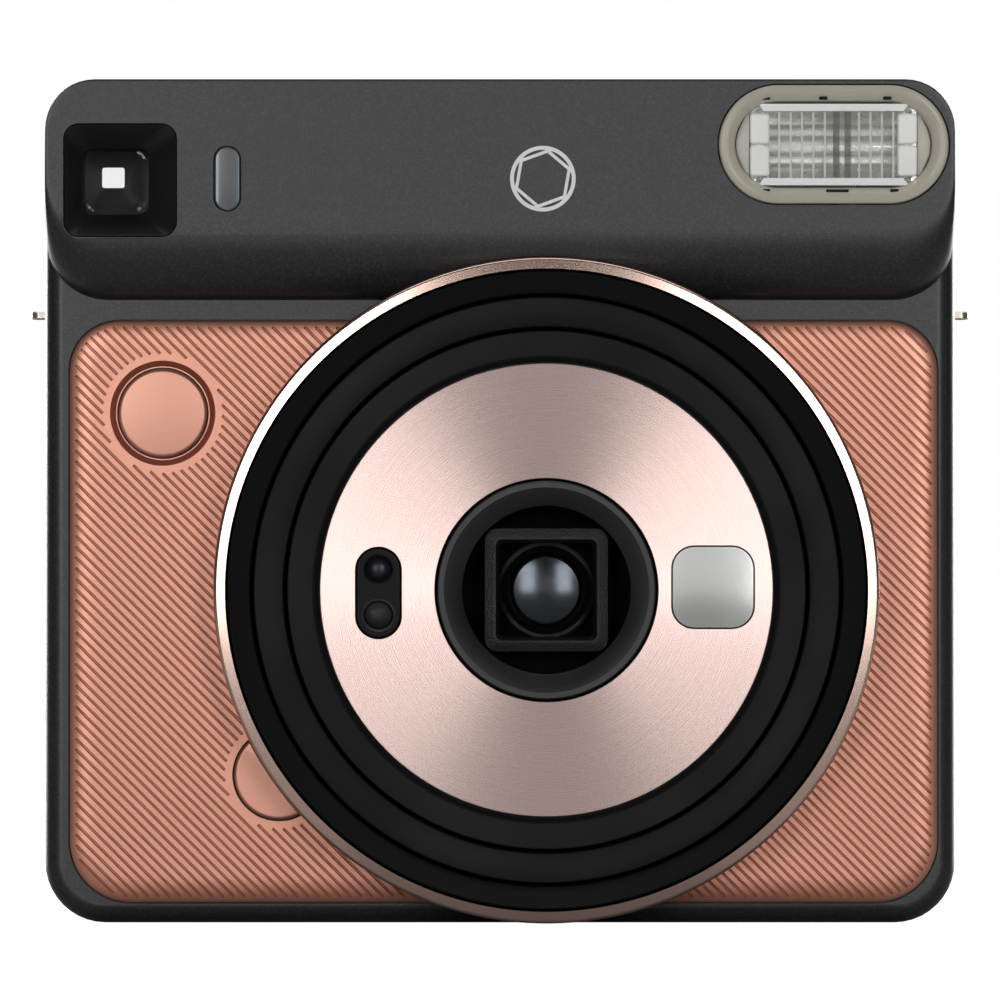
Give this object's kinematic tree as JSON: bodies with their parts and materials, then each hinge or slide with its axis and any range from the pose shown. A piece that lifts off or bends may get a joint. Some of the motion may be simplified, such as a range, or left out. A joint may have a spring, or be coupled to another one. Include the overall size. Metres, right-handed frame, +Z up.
{
  "type": "instant camera",
  "caption": "Instant film camera with a collapsible two-stage lens, ribbed front panels, flash, viewfinder, side-hinged film door and top film exit.",
  "frame": {"origin": "middle of the base, halfway in depth between the lens ring and the film door", "axes": "+Z up, -Y the way the lens looks, +X to the right as seen from the front"},
  "size_m": [0.1342, 0.0582, 0.1191],
  "materials": {
    "graphite_cover": "satin paint with a fine speckle on moulded ABS",
    "copper_paint": "satin copper paint on moulded ABS",
    "black_plastic": "moulded black polycarbonate",
    "rose_aluminium": "rose anodised, brushed round the lens axis",
    "steel": "satin",
    "mirror": "polished, domed slightly",
    "clear_plastic": "moulded clear acrylic",
    "coated_glass": "polished and coated",
    "white_plastic": "moulded acetal",
    "circuit_board": "solder mask",
    "reflector": "polished foil",
    "sleeve": "shrink sleeve"
  },
  "bodies": {
    "camera_body": {"battery_holder": "black_plastic", "battery_lower": "sleeve", "battery_upper": "sleeve", "circuit_board": "circuit_board", "counter_window": "clear_plastic", "dark_box": "black_plastic", "drive_motor": "steel", "eyepiece_frame": "black_plastic", "eyepiece_lens": "clear_plastic", "fixed_barrel": "black_plastic", "flash_capacitor": "sleeve", "flash_reflector": "reflector", "flash_tube": "coated_glass", "flash_window": "clear_plastic", "front_cover": "graphite_cover", "front_panel_left": "copper_paint", "front_panel_right": "copper_paint", "hinge_pin": "steel", "lens_ring": "rose_aluminium", "rear_cover": "graphite_cover", "strap_lug_left": "steel", "strap_lug_right": "steel", "timer_lamp": "clear_plastic", "tripod_socket": "steel", "viewfinder_frame": "black_plastic", "viewfinder_front_lens": "clear_plastic", "viewfinder_tube": "black_plastic"},
    "outer_barrel": {"outer_barrel": "black_plastic"},
    "inner_barrel": {"inner_barrel": "black_plastic", "front_plate": "rose_aluminium", "selfie_mirror": "mirror", "sensor_cover": "black_plastic", "light_sensor": "coated_glass", "flash_sensor": "coated_glass", "lens_bezel": "black_plastic", "square_hood": "black_plastic", "lens_cell": "black_plastic", "front_lens": "coated_glass", "shutter_housing": "black_plastic", "shutter_plate": "black_plastic", "rear_lens": "coated_glass"},
    "shutter_blade_left": {"shutter_blade_left": "steel"},
    "shutter_blade_right": {"shutter_blade_right": "steel"},
    "shutter_button": {"shutter_button": "copper_paint"},
    "lens_button": {"lens_button": "copper_paint"},
    "flash_button": {"flash_button": "copper_paint"},
    "timer_button": {"timer_button": "copper_paint"},
    "mode_button": {"mode_button": "copper_paint"},
    "film_door": {"film_door": "graphite_cover", "film_window": "clear_plastic", "pack_spring_low": "steel", "pack_spring_high": "steel"},
    "door_latch": {"door_latch": "black_plastic"},
    "battery_door": {"battery_door": "graphite_cover"},
    "motor_pinion": {"motor_pinion": "white_plastic"},
    "drive_roller": {"drive_roller": "steel", "drive_gear": "white_plastic"},
    "pinch_roller": {"pinch_roller": "steel"},
    "film_claw": {"film_claw": "steel"},
    "counter_wheel": {"counter_wheel": "white_plastic"}
  },
  "joints": [
    {"name": "outer_barrel_slide", "type": "slide", "parent": "camera_body", "child": "outer_barrel", "axis": [0, -1, 0], "range_m": [0, 0.0125]},
    {"name": "inner_barrel_slide", "type": "slide", "parent": "outer_barrel", "child": "inner_barrel", "axis": [0, -1, 0], "range_m": [0, 0.0125]},
    {"name": "shutter_blade_left_pivot", "type": "hinge", "parent": "inner_barrel", "child": "shutter_blade_left", "pos_m": [-0.0015, -0.0164, 0.0469], "axis": [0, 1, 0], "range_deg": [0, 60]},
    {"name": "shutter_blade_right_pivot", "type": "hinge", "parent": "inner_barrel", "child": "shutter_blade_right", "pos_m": [0.0145, -0.0155, 0.0469], "axis": [0, 1, 0], "range_deg": [0, 60]},
    {"name": "shutter_button_press", "type": "slide", "parent": "camera_body", "child": "shutter_button", "axis": [0, 1, 0], "range_m": [0, 0.0009], "stiffness_N_per_m": 300},
    {"name": "lens_button_press", "type": "slide", "parent": "camera_body", "child": "lens_button", "axis": [0, 1, 0], "range_m": [0, 0.0009], "stiffness_N_per_m": 300},
    {"name": "flash_button_press", "type": "slide", "parent": "camera_body", "child": "flash_button", "axis": [0, 0, -1], "range_m": [0, 0.0004], "stiffness_N_per_m": 300},
    {"name": "timer_button_press", "type": "slide", "parent": "camera_body", "child": "timer_button", "axis": [0, 0, -1], "range_m": [0, 0.0004], "stiffness_N_per_m": 300},
    {"name": "mode_button_press", "type": "slide", "parent": "camera_body", "child": "mode_button", "axis": [0, -1, 0], "range_m": [0, 0.0006], "stiffness_N_per_m": 300},
    {"name": "film_door_hinge", "type": "hinge", "parent": "camera_body", "child": "film_door", "pos_m": [0.0585, 0.02735, 0.053], "axis": [0, 0, -1], "range_deg": [0, 110]},
    {"name": "door_latch_slide", "type": "slide", "parent": "film_door", "child": "door_latch", "axis": [0, 0, 1], "range_m": [0, 0.004], "stiffness_N_per_m": 150},
    {"name": "battery_door_hinge", "type": "hinge", "parent": "camera_body", "child": "battery_door", "pos_m": [-0.0594, 0.0137, 0.0012], "axis": [0, 1, 0], "range_deg": [0, 95]},
    {"name": "motor_spin", "type": "hinge", "parent": "camera_body", "child": "motor_pinion", "pos_m": [0.046, -0.003, 0.1045], "axis": [1, 0, 0], "continuous": true},
    {"name": "drive_roller_spin", "type": "hinge", "parent": "camera_body", "child": "drive_roller", "pos_m": [0.0065, 0.0076, 0.106], "axis": [1, 0, 0], "continuous": true},
    {"name": "pinch_roller_spin", "type": "hinge", "parent": "camera_body", "child": "pinch_roller", "pos_m": [0.0065, 0.0142, 0.106], "axis": [1, 0, 0], "continuous": true},
    {"name": "film_claw_slide", "type": "slide", "parent": "camera_body", "child": "film_claw", "axis": [0, 0, 1], "range_m": [0, 0.008]},
    {"name": "counter_wheel_spin", "type": "hinge", "parent": "camera_body", "child": "counter_wheel", "pos_m": [-0.05, 0.0226, 0.0702], "axis": [0, 1, 0], "range_deg": [0, 330]}
  ],
  "couplings": [
    {"joint": "inner_barrel_slide", "follows": "outer_barrel_slide", "ratio": 1},
    {"joint": "shutter_blade_right_pivot", "follows": "shutter_blade_left_pivot", "ratio": 1},
    {"joint": "motor_spin", "follows": "drive_roller_spin", "ratio": -2.5455},
    {"joint": "pinch_roller_spin", "follows": "drive_roller_spin", "ratio": -1}
  ]
}
